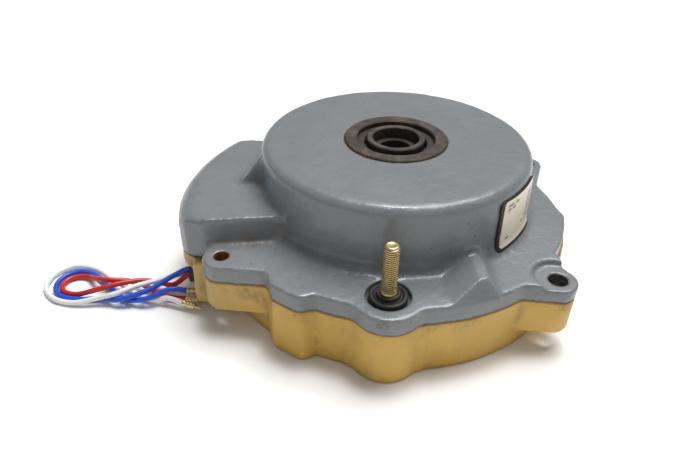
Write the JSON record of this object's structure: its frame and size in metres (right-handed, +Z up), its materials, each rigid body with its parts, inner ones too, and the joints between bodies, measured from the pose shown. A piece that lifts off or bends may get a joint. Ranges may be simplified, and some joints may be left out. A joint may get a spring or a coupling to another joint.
{
  "type": "electromagnetic clutch",
  "caption": "Electromagnetic clutch in a two-part cast housing: round drum over an eared flange, side cable chamber, central sleeve with sealed bearing, and a stud.",
  "frame": {"origin": "on the shaft axis, on the flat underside of the lower housing", "axes": "+Z up along the shaft axis towards the output sleeve; -Y towards the stud ear; -X towards the cable chamber"},
  "size_m": [0.3169, 0.241, 0.0845],
  "materials": {
    "grey_paint": "cast metal under grey enamel, satin",
    "ochre_casting": "cast metal with a yellowed ochre finish, stained",
    "black_oxide": "black oxide steel, dull",
    "seal_rubber": "moulded rubber, matt",
    "bearing_steel": "ground bearing steel",
    "cage_brass": "machined brass",
    "turned_steel": "turned steel",
    "lining": "friction lining, moulded",
    "bobbin_plastic": "moulded bobbin",
    "copper_wire": "enamelled copper winding",
    "potting": "cast resin",
    "fastener_steel": "black fastener steel",
    "yellow_zinc": "steel with yellow zinc plating",
    "bush_bronze": "sintered bronze",
    "spring_steel": "spring steel wire",
    "terminal_plastic": "moulded terminal block",
    "label_foil": "printed foil without lettering",
    "label_black": "black adhesive pad",
    "pvc_blue": "cable sheath",
    "pvc_red": "cable sheath",
    "pvc_white": "cable sheath"
  },
  "bodies": {
    "housing": {"upper_housing": "grey_paint", "lower_housing": "ochre_casting", "bearing_retainer": "black_oxide", "output_shaft_seal": "seal_rubber", "upper_bearing_outer_ring": "bearing_steel", "magnet_body": "turned_steel", "coil_bobbin": "bobbin_plastic", "coil_winding": "copper_wire", "coil_potting": "potting", "magnet_screws": "fastener_steel", "lower_bearing_outer_ring": "bearing_steel", "lower_bearing_circlip": "fastener_steel", "input_shaft_seal": "seal_rubber", "housing_screws": "fastener_steel", "stud": "yellow_zinc", "stud_grommet": "seal_rubber", "cable_grommet": "seal_rubber", "terminal_block": "terminal_plastic", "terminal_screws": "yellow_zinc", "label_backing": "label_black", "label": "label_foil", "lead_blue": "pvc_blue", "lead_red": "pvc_red", "lead_white": "pvc_white", "ferrule_blue": "yellow_zinc", "ferrule_red": "yellow_zinc", "ferrule_white": "yellow_zinc"},
    "output_side": {"output_hub": "black_oxide", "output_circlip": "fastener_steel", "pilot_bush": "bush_bronze", "pin_bushes": "bush_bronze", "upper_bearing_inner_ring": "bearing_steel", "return_springs": "spring_steel"},
    "armature": {"armature_disc": "turned_steel", "drive_pins": "turned_steel"},
    "input_side": {"input_hub": "turned_steel", "rotor": "turned_steel", "rotor_key": "turned_steel", "friction_lining": "lining", "rotor_circlip": "fastener_steel", "lower_bearing_inner_ring": "bearing_steel"},
    "upper_ball_set": {"upper_bearing_balls": "bearing_steel", "upper_bearing_cage": "cage_brass"},
    "lower_ball_set": {"lower_bearing_balls": "bearing_steel", "lower_bearing_cage": "cage_brass"}
  },
  "joints": [
    {"name": "output_spin", "type": "hinge", "parent": "housing", "child": "output_side", "pos_m": [0, 0, 0.07], "axis": [0, 0, 1], "continuous": true},
    {"name": "armature_slide", "type": "slide", "parent": "output_side", "child": "armature", "axis": [0, 0, -1], "range_m": [0, 0.0005], "stiffness_N_per_m": 20000, "springref_m": -0.001, "deforming": ["return_springs"]},
    {"name": "input_spin", "type": "hinge", "parent": "housing", "child": "input_side", "pos_m": [0, 0, 0.02], "axis": [0, 0, 1], "continuous": true},
    {"name": "upper_ball_spin", "type": "hinge", "parent": "housing", "child": "upper_ball_set", "pos_m": [0, 0, 0.067], "axis": [0, 0, 1], "continuous": true},
    {"name": "lower_ball_spin", "type": "hinge", "parent": "housing", "child": "lower_ball_set", "pos_m": [0, 0, 0.012], "axis": [0, 0, 1], "continuous": true}
  ],
  "couplings": [
    {"joint": "upper_ball_spin", "follows": "output_spin", "ratio": 0.42},
    {"joint": "lower_ball_spin", "follows": "input_spin", "ratio": 0.4}
  ]
}
